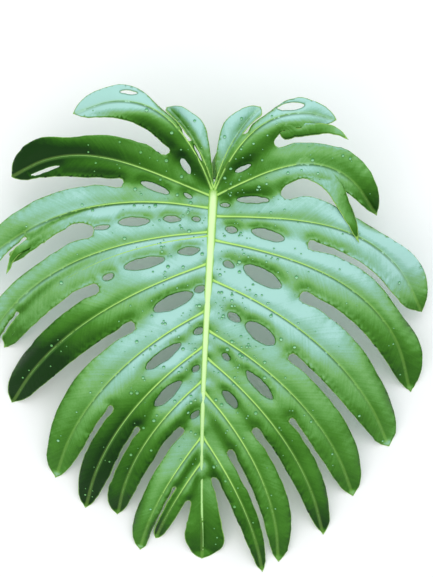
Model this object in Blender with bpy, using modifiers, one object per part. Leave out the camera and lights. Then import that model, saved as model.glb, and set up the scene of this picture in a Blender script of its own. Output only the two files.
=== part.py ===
"""A monstera leaf picked with a short piece of its stalk, lying face up on a table.

The blade is one grown sheet: lobes on either side of the midrib, split from each other
by long slits, and holes along the midrib. It arches over the table and stands on the
ends of its lobes. The stalk meets the midrib under the notch at the base and comes
down to the table.

The plan is drawn in millimetres from the point where the stalk meets the blade: -Y
towards the leaf's tip, +Y towards the stalk, +X to the right for someone who looks
down on it with the tip towards them, +Z up. place() then moves it so that the box
round the leaf is centred on the origin.
"""

import math

import bmesh
import bpy
import numpy as np
from mathutils import Vector

MM = 0.001
COLLECTION = "monstera_leaf"

# Driving dimensions, in millimetres.
BASE_SHIFT = (23.4, 190.5)  # from the stalk's joint to the middle of the leaf's box
BLADE_THICKNESS = 1.2
MIDRIB_BASE_RADIUS = 5.6
MIDRIB_TIP_RADIUS = 1.4
SHEET_CELL = 25.0  # the net that lets the flat sheet bend
HOLE_POINTS = 6
CURVE_STEPS = 2  # straight pieces between two points of the outline
GROOVE_DEPTH = 2.0  # how far the sheet dips along each vein
GROOVE_REACH = 9.0
SETTLING = 4.0  # the ends of the lobes are pressed flat where they come this close to the table
SETTLING_FADE = 20.0
BLEND_START = 3.0  # within this distance of a vein the sheet follows that vein alone
BLEND_POWER = 3
OUTLINE_BLOCK = 5.0  # half the height of the block that cuts the sheet to its outline
SLAB_MARGIN = 2.0  # how far the uncut sheet reaches past the outline
WELD = 0.02  # points closer than this become one
RIB_SINK = 0.35  # share of the rib's radius that lies below the sheet
RIB_CLEARANCE = 0.5  # least gap between the rib and the table
RIB_ROOT = [(0.9, 14.0, 74.8), (0.3, 3.0, 77.5)]  # the rib's first points, under the notch
BLADE_GREEN = (0.10, 0.30, 0.08)
STALK_GREEN = (0.16, 0.34, 0.08)

# The midrib, from the stalk's joint to the leaf's tip: x, y and height over the table.
MIDRIB = [
    (0, 8, 80), (-5, -90, 90), (-10, -180, 86), (-14, -270, 70), (-16, -350, 48), (-16, -420, 24),
    (-15, -455, 10), (-15, -485, 0),
]
# Each lobe in a few dimensions: how far down the midrib its side vein starts, how long the
# line from its start to its end is, its heading in degrees from +X, how far it bows and how late, its
# greatest height and its end's, the lobe's half widths before and after the vein, and the
# share of the vein at which the slit after it starts.
LOBE_SIZES = {
    "left_ear": (0, 120, 120, 8, 0.0, 104, 92, 24, 14, 0.55),
    "left_curl": (5, 205, 151, 52, 0.2, 130, 98, 25, 26, 0.38),
    "left_hood": (10, 265, 174, 32, 0.5, 106, 56, 42, 28, 0.45),
    "left_1": (25, 340, 196, 45, 0.1, 100, 14, 30, 26, 0.72),
    "left_1_finger": (30, 270, 194, 40, 0.2, 96, 52, 14, 12, 0.57),
    "left_2": (55, 345, 207, 45, 0.2, 96, 0, 26, 14, 0.80),
    "left_2_finger": (60, 315, 208, 38, 0.2, 95, 0, 14, 20, 0.50),
    "left_3": (95, 325, 215, 28, 0.2, 98, 0, 32, 30, 0.38),
    "left_4": (155, 305, 228, 32, 0.1, 90, 0, 36, 24, 0.58),
    "left_5": (200, 275, 234, 26, 0.1, 82, 0, 24, 20, 0.50),
    "left_6": (245, 220, 238, 20, 0.1, 72, 0, 26, 20, 0.30),
    "left_7": (320, 180, 242, 10, 0.1, 56, 0, 28, 14, 0.42),
    "left_8": (355, 125, 240, 4, 0.0, 44, 0, 12, 12, 0.50),
    "tip": (380, 110, 270, 0, 0.0, 34, 0, 26, 42, 0.04),
    "right_8": (320, 205, 293, -12, 0.1, 54, 0, 14, 14, 0.16),
    "right_7": (260, 255, 293, -24, 0.1, 68, 0, 18, 26, 0.30),
    "right_6": (215, 290, 303, -26, 0.1, 78, 0, 18, 22, 0.45),
    "right_5": (180, 300, 311, -29, 0.1, 86, 0, 22, 34, 0.34),
    "right_4": (115, 330, 317, -34, 0.1, 94, 0, 30, 40, 0.34),
    "right_3": (65, 335, 323, -56, 0.3, 100, 0, 32, 40, 0.34),
    "right_2": (35, 305, 336, -50, 0.4, 102, 18, 48, 38, 0.30),
    "right_1": (10, 215, 354, -51, 0.4, 112, 50, 20, 32, 0.42),
    "right_curl": (5, 180, 30, -40, 0.2, 127, 112, 20, 22, 0.40),
    "right_ear": (0, 120, 60, -8, 0.0, 103, 94, 14, 24, 0.0),
}
STALK_NOTCH = (3, 9)
VEIN_KNOTS = 7
CROWN_AT = 0.4  # share of a vein at which it is highest
EDGE_STATIONS = (0.15, 0.38, 0.60, 0.80, 0.94)  # from the slit to the lobe's end
BLUNTNESS = 3.5  # more gives a lobe that keeps its width for longer
CLOSING = 0.6
LARGEST_SHARE = 0.44  # of the gap to the next vein, so that the slit between stays open


def rib_place(distance):
    """The point of the midrib this far below the stalk, with its height."""
    rows = np.array(MIDRIB[::-1], float)
    return np.array([np.interp(-distance, rows[:, 1], rows[:, axis]) for axis in range(3)])


def vein_points(sizes, count):
    """A side vein: a bowed line from the midrib to the lobe's end, highest at its crown."""
    foot, length, heading, bow, lateness, crown, end_height = sizes[:7]
    start = rib_place(foot)
    chord = length * np.array([math.cos(math.radians(heading)), math.sin(math.radians(heading))])
    side = np.array([chord[1], -chord[0]]) / np.hypot(*chord)
    share = np.linspace(0, 1, count)
    bulge = 4 * bow * share * (1 - share) * (1 + lateness * (2 * share - 1))
    plan = start[:2] + share[:, None] * chord + bulge[:, None] * side
    heights = np.polyval(np.polyfit((0, CROWN_AT, 1), (start[2] - 4, crown, end_height), 2), share)
    return np.column_stack([plan, np.maximum(heights, 0)])


FINE_VEINS = {name: vein_points(sizes, 101) for name, sizes in LOBE_SIZES.items()}
LOBE_NAMES = list(LOBE_SIZES)


def gap_to(point, other):
    """How far another lobe's vein is from a point, and which of its points is nearest."""
    reach = np.hypot(*(FINE_VEINS[other][:, :2] - point).T)
    return reach.min(), int(reach.argmin())


def slit_after(name):
    """Where the slit after a lobe ends: halfway between its vein and the next lobe's."""
    following = LOBE_NAMES[(LOBE_NAMES.index(name) + 1) % len(LOBE_NAMES)]
    if name == LOBE_NAMES[-1]:
        return np.array(STALK_NOTCH, float)
    point = FINE_VEINS[name][round(LOBE_SIZES[name][9] * 100), :2]
    return (point + FINE_VEINS[following][gap_to(point, following)[1], :2]) / 2


def lobe_side(name, neighbour, slit, sign, half_width):
    """The edge on one side of a lobe, from the slit towards the lobe's end."""
    vein = FINE_VEINS[name][:, :2]
    first = np.hypot(*(vein - slit).T).argmin() / 100
    points = []
    for station in EDGE_STATIONS:
        number = min(round((first + station * (1 - first)) * 100), 98)
        along = vein[number + 1] - vein[number - 1]
        side = np.array([along[1], -along[0]]) / np.hypot(*along) * sign
        width = half_width * (1 - station**BLUNTNESS) ** CLOSING
        width = min(width, LARGEST_SHARE * gap_to(vein[number], neighbour)[0])
        points.append(tuple((vein[number] + side * width).tolist()))
    return points


def lobe(name):
    """A lobe as its vein, its edge before and after its end, and the slit after it."""
    number = LOBE_NAMES.index(name)
    previous, following = LOBE_NAMES[number - 1], LOBE_NAMES[(number + 1) % len(LOBE_NAMES)]
    sizes = LOBE_SIZES[name]
    before = lobe_side(name, previous, slit_after(previous), 1, sizes[7])
    after = lobe_side(name, following, slit_after(name), -1, sizes[8])[::-1]
    vein = [tuple(knot) for knot in vein_points(sizes, VEIN_KNOTS).tolist()]
    return vein, before, after, tuple(slit_after(name).tolist())


LOBES = {name: lobe(name) for name in LOBE_SIZES}
# The holes between a vein and the next: share along the vein, length and width.
HOLE_ROWS = {
    "left_ear": [(0.40, 22, 6)], "left_curl": [(0.24, 22, 9)], "left_hood": [(0.12, 12, 5), (0.29, 38, 9)],
    "left_1": [(0.06, 10, 6), (0.15, 22, 8), (0.29, 40, 11), (0.42, 20, 6)],
    "left_2": [(0.10, 28, 10), (0.27, 52, 14), (0.42, 15, 8)], "left_3": [(0.07, 14, 8), (0.20, 54, 18)],
    "left_4": [(0.07, 13, 8), (0.26, 54, 14)], "left_5": [(0.10, 11, 7), (0.28, 46, 14)],
    "left_6": [(0.12, 14, 8)], "right_7": [(0.12, 28, 12)], "right_6": [(0.08, 11, 7), (0.26, 48, 13)],
    "right_5": [(0.08, 18, 10), (0.20, 44, 20)], "right_4": [(0.06, 14, 8), (0.19, 54, 19)],
    "right_3": [(0.07, 15, 8), (0.20, 42, 13)], "right_2": [(0.07, 12, 5), (0.19, 40, 9)],
    "right_1": [(0.24, 22, 6)],
}
# The holes inside a lobe: share along its vein, distance from the vein, length and width.
LOBE_HOLES = {"left_curl": (0.72, 11, 22, 5), "left_hood": (0.84, -13, 40, 5), "right_curl": (0.74, -9, 34, 10)}
WIDEST_HOLE = 0.45  # of the gap between the two veins


def vein_turn(name, number):
    """The direction of a vein at one of its points, in degrees from +X."""
    along = FINE_VEINS[name][number + 1] - FINE_VEINS[name][number - 1]
    return math.degrees(math.atan2(along[1], along[0]))


def hole_list():
    """Every hole: its middle, length, width and turn."""
    whole = [name for name in LOBE_NAMES if not name.endswith("finger")]
    holes = []
    for name, row in HOLE_ROWS.items():
        following = whole[whole.index(name) + 1]
        for share, length, width in row:
            number = round(share * 100)
            point = FINE_VEINS[name][number, :2]
            gap, nearest_number = gap_to(point, following)
            x, y = (point + FINE_VEINS[following][nearest_number, :2]) / 2
            holes.append((x, y, length, min(width, WIDEST_HOLE * gap), vein_turn(name, number)))
    for name, (share, offset, length, width) in LOBE_HOLES.items():
        number = round(share * 100)
        turn = vein_turn(name, number)
        x, y = FINE_VEINS[name][number, :2]
        across = math.radians(turn - 90)
        holes.append((x + math.cos(across) * offset, y + math.sin(across) * offset, length, width, turn))
    return holes


HOLES = hole_list()
MIDRIB_END = 0.93  # the rib fades into the sheet this far along

# The stalk from the midrib's end down to the table, with its radius at each point.
STALK = [
    (0.9, 14.4, 74.7, 5.6), (1.2, 19.4, 73.5, 5.8), (3, 29, 68.5, 7.0), (6, 39, 61, 6.9), (10, 50, 50, 5.9),
    (16, 62, 35, 5.6), (22, 73, 20, 5.6), (28, 83, 11, 5.6), (34, 92, 6.4, 5.6), (39, 99, 5.7, 5.6),
]


def place(x, y, z):
    """A point of the plan in metres, from the middle of the leaf's box."""
    return ((x + BASE_SHIFT[0]) * MM, (y + BASE_SHIFT[1]) * MM, z * MM)


def smooth_route(points, steps=12):
    """Points on a smooth curve that passes through the given ones."""
    knots = np.array(points, float)
    before = 2 * knots[0] - knots[1]
    after = 2 * knots[-1] - knots[-2]
    knots = np.vstack([before, knots, after])
    share = np.linspace(0, 1, steps, endpoint=False)[:, None]
    route = []
    for a, b, c, d in zip(knots, knots[1:], knots[2:], knots[3:]):
        bend = 2 * a - 5 * b + 4 * c - d
        turn = -a + 3 * b - 3 * c + d
        route.append(0.5 * (2 * b + (c - a) * share + bend * share**2 + turn * share**3))
    return np.vstack(route + [knots[-2:-1]])


def nearest(points, route):
    """For each point, how far the route is and the height of its nearest point."""
    away = np.full(len(points), 1e9)
    height = np.zeros(len(points))
    for start, end in zip(route[:-1], route[1:]):
        along = end[:2] - start[:2]
        share = np.clip((points - start[:2]) @ along / (along @ along), 0, 1)
        gap = np.hypot(*(points - start[:2] - share[:, None] * along).T)
        closer = gap < away
        away[closer] = gap[closer]
        height[closer] = start[2] + share[closer] * (end[2] - start[2])
    return away, height


def sheet_heights(points):
    """Height of the blade's underside over each point: the veins' own heights, blended."""
    total = np.zeros(len(points))
    weight_sum = np.zeros(len(points))
    closest = np.full(len(points), 1e9)
    for points_of_vein in [MIDRIB] + [lobe[0] for lobe in LOBES.values()]:
        away, height = nearest(points, smooth_route(points_of_vein))
        weight = 1 / (away + BLEND_START) ** BLEND_POWER
        total += weight * height
        weight_sum += weight
        closest = np.minimum(closest, away)
    groove = GROOVE_DEPTH * np.exp(-((closest / GROOVE_REACH) ** 2))
    free = total / weight_sum - groove
    return np.maximum(free - SETTLING * np.exp(-free / SETTLING_FADE), 0)


def add_spline(curve, points, corners):
    """A closed smooth loop in the curve, with a sharp corner at the numbered points."""
    spline = curve.splines.new("BEZIER")
    spline.bezier_points.add(len(points) - 1)
    spline.use_cyclic_u = True
    spline.resolution_u = CURVE_STEPS
    for number, (x, y) in enumerate(points):
        knot = spline.bezier_points[number]
        kind = "VECTOR" if number in corners else "AUTO"
        knot.co = place(x, y, 0)
        knot.handle_left_type = kind
        knot.handle_right_type = kind


def leaf_outline():
    """The blade's outline, with its slits and holes, as a filled curve pushed up into a block."""
    curve = bpy.data.curves.new("leaf_outline", "CURVE")
    curve.dimensions = "2D"
    curve.fill_mode = "BOTH"
    curve.extrude = OUTLINE_BLOCK * MM
    edge = []
    tips = set()
    for vein, before, after, slit in LOBES.values():
        edge += before
        tips.add(len(edge))
        edge += [vein[-1][:2]] + after + [slit]
    add_spline(curve, edge, tips)
    for x, y, length, width, turn in HOLES:
        long_way = Vector((math.cos(math.radians(turn)), math.sin(math.radians(turn))))
        wide_way = Vector((-long_way.y, long_way.x))
        loop = []
        for number in range(HOLE_POINTS):
            angle = number * math.tau / HOLE_POINTS
            along = math.cos(angle) * length / 2
            across = math.sin(angle) * width / 2
            loop.append(Vector((x, y)) + long_way * along + wide_way * across)
        add_spline(curve, loop, set())
    return bpy.data.objects.new("leaf_outline", curve)


def mesh_of(source):
    """An object as a mesh of its own, its modifiers applied and doubled points merged."""
    bpy.context.scene.collection.objects.link(source)
    bpy.context.view_layer.update()
    graph = bpy.context.evaluated_depsgraph_get()
    mesh = bpy.data.meshes.new_from_object(source.evaluated_get(graph))
    bpy.data.objects.remove(source)
    shape = bmesh.new()
    shape.from_mesh(mesh)
    bmesh.ops.remove_doubles(shape, verts=shape.verts, dist=WELD * MM)
    shape.to_mesh(mesh)
    shape.free()
    return mesh


def netted_slab(low, high, thickness):
    """A flat slab over the plan, cut into square cells so that it can bend."""
    slab = bmesh.new()
    bmesh.ops.create_cube(slab, size=1)
    middle = (Vector(low) + Vector(high)) / 2
    side = Vector(high) - Vector(low)
    bmesh.ops.scale(slab, verts=slab.verts, vec=(side.x, side.y, thickness))
    bmesh.ops.translate(slab, verts=slab.verts, vec=(middle.x, middle.y, thickness / 2))
    for axis in (0, 1):
        normal = Vector((0, 0, 0))
        normal[axis] = 1
        for at in np.arange(low[axis] + SHEET_CELL * MM, high[axis], SHEET_CELL * MM):
            everything = slab.verts[:] + slab.edges[:] + slab.faces[:]
            bmesh.ops.bisect_plane(slab, geom=everything, plane_co=normal * at, plane_no=normal)
    mesh = bpy.data.meshes.new("blade_slab")
    slab.to_mesh(mesh)
    slab.free()
    return mesh


def combine(thing, other, operation):
    """A Boolean modifier, its other mesh kept among the cutters."""
    other.hide_render = True
    other.display_type = "WIRE"
    change = thing.modifiers.new(other.name, "BOOLEAN")
    change.operation = operation
    change.object = other


def add_object(name, mesh, color, roughness, collection):
    """An object with its own plain material."""
    material = bpy.data.materials.new(name)
    material.use_nodes = True
    shader = material.node_tree.nodes["Principled BSDF"]
    shader.inputs["Base Color"].default_value = (*color, 1)
    shader.inputs["Roughness"].default_value = roughness
    mesh.materials.clear()
    mesh.materials.append(material)
    thing = bpy.data.objects.new(name, mesh)
    collection.objects.link(thing)
    return thing


def tube_mesh(name, points, sides_resolution):
    """A tube along points that each give x, y, z and radius, closed at both ends."""
    curve = bpy.data.curves.new(name, "CURVE")
    curve.dimensions = "3D"
    curve.bevel_depth = MM
    curve.bevel_resolution = sides_resolution
    curve.use_fill_caps = True
    spline = curve.splines.new("POLY")
    spline.points.add(len(points) - 1)
    for knot, (x, y, z, radius) in zip(spline.points, points):
        knot.co = (*place(x, y, z), 1)
        knot.radius = radius
    return mesh_of(bpy.data.objects.new(name, curve))


def midrib_points():
    """The rib's tube: it rides half sunk in the sheet and leaves it under the notch."""
    route = smooth_route(MIDRIB, 2)
    route = route[: int(len(route) * MIDRIB_END)]
    shares = np.linspace(0, 1, len(route))
    points = [(*root, MIDRIB_BASE_RADIUS) for root in RIB_ROOT]
    for share, (x, y, z) in zip(shares[2:], route[2:]):
        radius = MIDRIB_BASE_RADIUS + (MIDRIB_TIP_RADIUS - MIDRIB_BASE_RADIUS) * share
        points.append((x, y, max(z - RIB_SINK * radius, radius + RIB_CLEARANCE), radius))
    return points


def make_blade(collection, cutters):
    """The lobed sheet, raised over the table, with its midrib grown into it."""
    outline = bpy.data.objects.new("blade_outline", mesh_of(leaf_outline()))
    cutters.objects.link(outline)
    plan = [vert.co.xy for vert in outline.data.vertices]
    margin = SLAB_MARGIN * MM
    low = (min(at.x for at in plan) - margin, min(at.y for at in plan) - margin)
    high = (max(at.x for at in plan) + margin, max(at.y for at in plan) + margin)
    slab = bpy.data.objects.new("blade_slab", netted_slab(low, high, BLADE_THICKNESS * MM))
    combine(slab, outline, "INTERSECT")
    mesh = mesh_of(slab)

    shape = bmesh.new()
    shape.from_mesh(mesh)
    not_top = [face for face in shape.faces if face.normal.z < 0.5]
    bmesh.ops.delete(shape, geom=not_top, context="FACES")
    bmesh.ops.triangulate(shape, faces=shape.faces)
    plan = np.array([vert.co[:2] for vert in shape.verts]) / MM - BASE_SHIFT
    for vert, height in zip(shape.verts, sheet_heights(plan)):
        vert.co.z = height * MM
    shape.to_mesh(mesh)
    shape.free()

    blade = add_object("leaf_blade", mesh, BLADE_GREEN, 0.35, collection)
    wall = blade.modifiers.new("thickness", "SOLIDIFY")
    wall.thickness = BLADE_THICKNESS * MM
    wall.offset = 1
    rib = bpy.data.objects.new("midrib", tube_mesh("midrib", midrib_points(), 2))
    cutters.objects.link(rib)
    combine(blade, rib, "UNION")


def make_stalk(collection):
    """The cut stalk with its swollen knee, from the midrib's end down to the table."""
    mesh = tube_mesh("petiole", smooth_route(STALK, 2), 3)
    for polygon in mesh.polygons:
        polygon.use_smooth = len(polygon.vertices) == 4
    return add_object("petiole", mesh, STALK_GREEN, 0.4, collection)


def main():
    for thing in list(bpy.data.objects):
        bpy.data.objects.remove(thing)
    collection = bpy.data.collections.new(COLLECTION)
    bpy.context.scene.collection.children.link(collection)
    cutters = bpy.data.collections.new("cutters")
    bpy.context.scene.collection.children.link(cutters)
    make_blade(collection, cutters)
    make_stalk(collection)


main()
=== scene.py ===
# %% [markdown]
# # The looks of a picked monstera leaf
# The leaf comes as two plain solids, the blade and its cut stalk. This lesson gives them the
# skin, the veins and the wet shine of a living leaf. A leaf is one thin sheet, so nearly all
# of its looks come from how the sheet bends: it dips along each side vein, swells between
# them, curls down at the holes and the slits, and droops at the ends of its lobes.

# %% The fixed frame
import math

import bmesh
import bpy
import numpy as np
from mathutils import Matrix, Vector, geometry, kdtree, noise


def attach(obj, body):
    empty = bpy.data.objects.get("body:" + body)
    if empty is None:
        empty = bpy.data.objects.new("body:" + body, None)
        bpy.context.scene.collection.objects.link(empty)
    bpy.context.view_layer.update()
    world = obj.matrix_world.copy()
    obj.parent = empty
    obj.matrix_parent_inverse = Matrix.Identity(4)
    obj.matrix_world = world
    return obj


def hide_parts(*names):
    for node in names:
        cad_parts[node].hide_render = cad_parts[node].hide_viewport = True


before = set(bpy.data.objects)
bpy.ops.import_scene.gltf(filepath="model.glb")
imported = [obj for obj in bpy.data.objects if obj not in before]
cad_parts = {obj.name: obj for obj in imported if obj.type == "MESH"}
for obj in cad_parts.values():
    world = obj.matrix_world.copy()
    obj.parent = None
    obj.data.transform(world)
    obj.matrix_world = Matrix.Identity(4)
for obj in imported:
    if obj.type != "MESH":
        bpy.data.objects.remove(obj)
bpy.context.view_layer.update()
MM = 0.001
print("solids:", sorted(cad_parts))

# %% [markdown]
# The plan of the leaf is drawn in millimetres from the point where the stalk meets the blade,
# with the tip towards -Y, as a maker would draw it on the bench. `BASE_SHIFT` is where that
# point lies in the solids' own frame, whose origin is the middle of the leaf.

# %% From the plan to the frame
BASE_SHIFT = (23.4, 190.5)


def place(x, y, z=0.0):
    """A point of the plan, in metres, in the frame."""
    return Vector(((x + BASE_SHIFT[0]) * MM, (y + BASE_SHIFT[1]) * MM, z * MM))


# %% [markdown]
# The camera looks straight down on the leaf, as one looks at a leaf laid on a table. It is
# nearly two metres up with a long lens, so that the high lobes are hardly enlarged.

# %% Camera
CAMERA_HEIGHT = 1.9
SHARP_PLANE = 0.06  # the height at which the frame below is measured
FRAME_HEIGHT = 0.750
camera_data = bpy.data.cameras.new("camera")
camera_data.sensor_fit = "VERTICAL"
camera_data.sensor_height = 36
camera_data.lens = camera_data.sensor_height * (CAMERA_HEIGHT - SHARP_PLANE) / FRAME_HEIGHT
camera = bpy.data.objects.new("camera", camera_data)
camera.location = place(3.3, -128.0, CAMERA_HEIGHT / MM)
bpy.context.scene.collection.objects.link(camera)
bpy.context.scene.camera = camera
print("lens:", round(camera_data.lens, 1), "mm")

# %% [markdown]
# The light is a pale sky all round, with one broad soft lamp behind the stalk. A waxy leaf
# shows the sky wherever it faces it, so this one lamp brings out every dip and swelling. The
# colours are kept as they are drawn, with no film curve over them.

# %% Light and floor
bpy.context.scene.view_settings.view_transform = "Standard"


def linear(hex_colour):
    """An sRGB hex colour as the linear numbers that a shader takes."""
    channels = [int(hex_colour[at:at + 2], 16) / 255 for at in (1, 3, 5)]
    return [c / 12.92 if c <= 0.04045 else ((c + 0.055) / 1.055) ** 2.4 for c in channels] + [1.0]


world = bpy.data.worlds.new("pale_sky")
world.use_nodes = True
world.node_tree.nodes["Background"].inputs["Color"].default_value = linear("#F7FAFC")
world.node_tree.nodes["Background"].inputs["Strength"].default_value = 1.0
bpy.context.scene.world = world


def add_lamp(name, location, size, power, colour):
    """A square soft lamp that looks at the middle of the leaf."""
    data = bpy.data.lights.new(name, "AREA")
    data.shape = "SQUARE"
    data.size = size
    data.energy = power
    data.color = linear(colour)[:3]
    lamp = bpy.data.objects.new(name, data)
    lamp.location = location
    lamp.rotation_euler = (-Vector(location)).to_track_quat("-Z", "Y").to_euler()
    bpy.context.scene.collection.objects.link(lamp)


add_lamp("sky_lamp", (0.3, 1.6, 2.0), 1.6, 17, "#F6FBFF")
add_lamp("fill_lamp", (-1.4, -0.9, 1.8), 1.4, 6, "#FFF8EC")

# %% [markdown]
# Every material below is wired by one small function: it adds a node, sets its values and
# joins its inputs. A link is given as (node, output name).

# %% The function that adds a node


def add_node(material, kind, values=None, links=None, **settings):
    """Add one node to a material, with its settings, its socket values and its links."""
    tree = material.node_tree
    new = tree.nodes.new(kind)
    for key, value in settings.items():
        setattr(new, key, value)
    for key, value in (values or {}).items():
        new.inputs[key].default_value = value
    for key, (source, output) in (links or {}).items():
        tree.links.new(source.outputs[output], new.inputs[key])
    return new


def new_material(name, roughness, **values):
    """A Principled material, and its shader."""
    material = bpy.data.materials.new(name)
    material.use_nodes = True
    shader = material.node_tree.nodes["Principled BSDF"]
    shader.inputs["Roughness"].default_value = roughness
    for key, value in values.items():
        shader.inputs[key.replace("_", " ")].default_value = value
    return material, shader


floor_mesh = bpy.data.meshes.new("floor")
floor_shape = bmesh.new()
bmesh.ops.create_grid(floor_shape, x_segments=1, y_segments=1, size=4)
floor_shape.to_mesh(floor_mesh)
floor_shape.free()
floor = bpy.data.objects.new("floor", floor_mesh)
bpy.context.scene.collection.objects.link(floor)
floor_paint, floor_shader = new_material("matt_white_board", 0.9)
floor_shader.inputs["Base Color"].default_value = linear("#F7F7F6")
floor.data.materials.append(floor_paint)

# %% [markdown]
# ## The plan of the blade
# A monstera leaf is drawn from its veins. The midrib runs from the stalk to the tip, and each
# lobe has its own side vein: a line of a given length and heading that bows. A lobe keeps an
# even width along its vein and closes at the end, but never takes more than its share of the
# gap to the next vein, so a slit is simply what is left between two lobes. The heights make
# the lobes arch up from the midrib and droop to the table.

# %% Midrib, lobes and holes
MIDRIB = [
    (0, 8, 80), (-5, -90, 90), (-10, -180, 86), (-14, -270, 70), (-16, -350, 48), (-16, -420, 24),
    (-15, -455, 10), (-15, -485, 0),
]
# Each lobe in a few dimensions: how far down the midrib its side vein starts, how long the
# line from its start to its end is, its heading in degrees from +X, how far it bows and how late, its
# greatest height and its end's, the lobe's half widths before and after the vein, and the
# share of the vein at which the slit after it starts.
LOBE_SIZES = {
    "left_ear": (0, 120, 120, 8, 0.0, 104, 92, 24, 14, 0.55),
    "left_curl": (5, 205, 151, 52, 0.2, 130, 98, 25, 26, 0.38),
    "left_hood": (10, 265, 174, 32, 0.5, 106, 56, 42, 28, 0.45),
    "left_1": (25, 340, 196, 45, 0.1, 100, 14, 30, 26, 0.72),
    "left_1_finger": (30, 270, 194, 40, 0.2, 96, 52, 14, 12, 0.57),
    "left_2": (55, 345, 207, 45, 0.2, 96, 0, 26, 14, 0.80),
    "left_2_finger": (60, 315, 208, 38, 0.2, 95, 0, 14, 20, 0.50),
    "left_3": (95, 325, 215, 28, 0.2, 98, 0, 32, 30, 0.38),
    "left_4": (155, 305, 228, 32, 0.1, 90, 0, 36, 24, 0.58),
    "left_5": (200, 275, 234, 26, 0.1, 82, 0, 24, 20, 0.50),
    "left_6": (245, 220, 238, 20, 0.1, 72, 0, 26, 20, 0.30),
    "left_7": (320, 180, 242, 10, 0.1, 56, 0, 28, 14, 0.42),
    "left_8": (355, 125, 240, 4, 0.0, 44, 0, 12, 12, 0.50),
    "tip": (380, 110, 270, 0, 0.0, 34, 0, 26, 42, 0.04),
    "right_8": (320, 205, 293, -12, 0.1, 54, 0, 14, 14, 0.16),
    "right_7": (260, 255, 293, -24, 0.1, 68, 0, 18, 26, 0.30),
    "right_6": (215, 290, 303, -26, 0.1, 78, 0, 18, 22, 0.45),
    "right_5": (180, 300, 311, -29, 0.1, 86, 0, 22, 34, 0.34),
    "right_4": (115, 330, 317, -34, 0.1, 94, 0, 30, 40, 0.34),
    "right_3": (65, 335, 323, -56, 0.3, 100, 0, 32, 40, 0.34),
    "right_2": (35, 305, 336, -50, 0.4, 102, 18, 48, 38, 0.30),
    "right_1": (10, 215, 354, -51, 0.4, 112, 50, 20, 32, 0.42),
    "right_curl": (5, 180, 30, -40, 0.2, 127, 112, 20, 22, 0.40),
    "right_ear": (0, 120, 60, -8, 0.0, 103, 94, 14, 24, 0.0),
}
STALK_NOTCH = (3, 9)
VEIN_KNOTS = 7
CROWN_AT = 0.4  # share of a vein at which it is highest
EDGE_STATIONS = (0.15, 0.38, 0.60, 0.80, 0.94)  # from the slit to the lobe's end
BLUNTNESS = 3.5  # more gives a lobe that keeps its width for longer
CLOSING = 0.6
LARGEST_SHARE = 0.44  # of the gap to the next vein, so that the slit between stays open


def rib_place(distance):
    """The point of the midrib this far below the stalk, with its height."""
    rows = np.array(MIDRIB[::-1], float)
    return np.array([np.interp(-distance, rows[:, 1], rows[:, axis]) for axis in range(3)])


def vein_points(sizes, count):
    """A side vein: a bowed line from the midrib to the lobe's end, highest at its crown."""
    foot, length, heading, bow, lateness, crown, end_height = sizes[:7]
    start = rib_place(foot)
    chord = length * np.array([math.cos(math.radians(heading)), math.sin(math.radians(heading))])
    side = np.array([chord[1], -chord[0]]) / np.hypot(*chord)
    share = np.linspace(0, 1, count)
    bulge = 4 * bow * share * (1 - share) * (1 + lateness * (2 * share - 1))
    plan = start[:2] + share[:, None] * chord + bulge[:, None] * side
    heights = np.polyval(np.polyfit((0, CROWN_AT, 1), (start[2] - 4, crown, end_height), 2), share)
    return np.column_stack([plan, np.maximum(heights, 0)])


FINE_VEINS = {name: vein_points(sizes, 101) for name, sizes in LOBE_SIZES.items()}
LOBE_NAMES = list(LOBE_SIZES)


def gap_to(point, other):
    """How far another lobe's vein is from a point, and which of its points is nearest."""
    reach = np.hypot(*(FINE_VEINS[other][:, :2] - point).T)
    return reach.min(), int(reach.argmin())


def slit_after(name):
    """Where the slit after a lobe ends: halfway between its vein and the next lobe's."""
    following = LOBE_NAMES[(LOBE_NAMES.index(name) + 1) % len(LOBE_NAMES)]
    if name == LOBE_NAMES[-1]:
        return np.array(STALK_NOTCH, float)
    point = FINE_VEINS[name][round(LOBE_SIZES[name][9] * 100), :2]
    return (point + FINE_VEINS[following][gap_to(point, following)[1], :2]) / 2


def lobe_side(name, neighbour, slit, sign, half_width):
    """The edge on one side of a lobe, from the slit towards the lobe's end."""
    vein = FINE_VEINS[name][:, :2]
    first = np.hypot(*(vein - slit).T).argmin() / 100
    points = []
    for station in EDGE_STATIONS:
        number = min(round((first + station * (1 - first)) * 100), 98)
        along = vein[number + 1] - vein[number - 1]
        side = np.array([along[1], -along[0]]) / np.hypot(*along) * sign
        width = half_width * (1 - station**BLUNTNESS) ** CLOSING
        width = min(width, LARGEST_SHARE * gap_to(vein[number], neighbour)[0])
        points.append(tuple((vein[number] + side * width).tolist()))
    return points


def lobe(name):
    """A lobe as its vein, its edge before and after its end, and the slit after it."""
    number = LOBE_NAMES.index(name)
    previous, following = LOBE_NAMES[number - 1], LOBE_NAMES[(number + 1) % len(LOBE_NAMES)]
    sizes = LOBE_SIZES[name]
    before = lobe_side(name, previous, slit_after(previous), 1, sizes[7])
    after = lobe_side(name, following, slit_after(name), -1, sizes[8])[::-1]
    vein = [tuple(knot) for knot in vein_points(sizes, VEIN_KNOTS).tolist()]
    return vein, before, after, tuple(slit_after(name).tolist())


LOBES = {name: lobe(name) for name in LOBE_SIZES}
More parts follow.
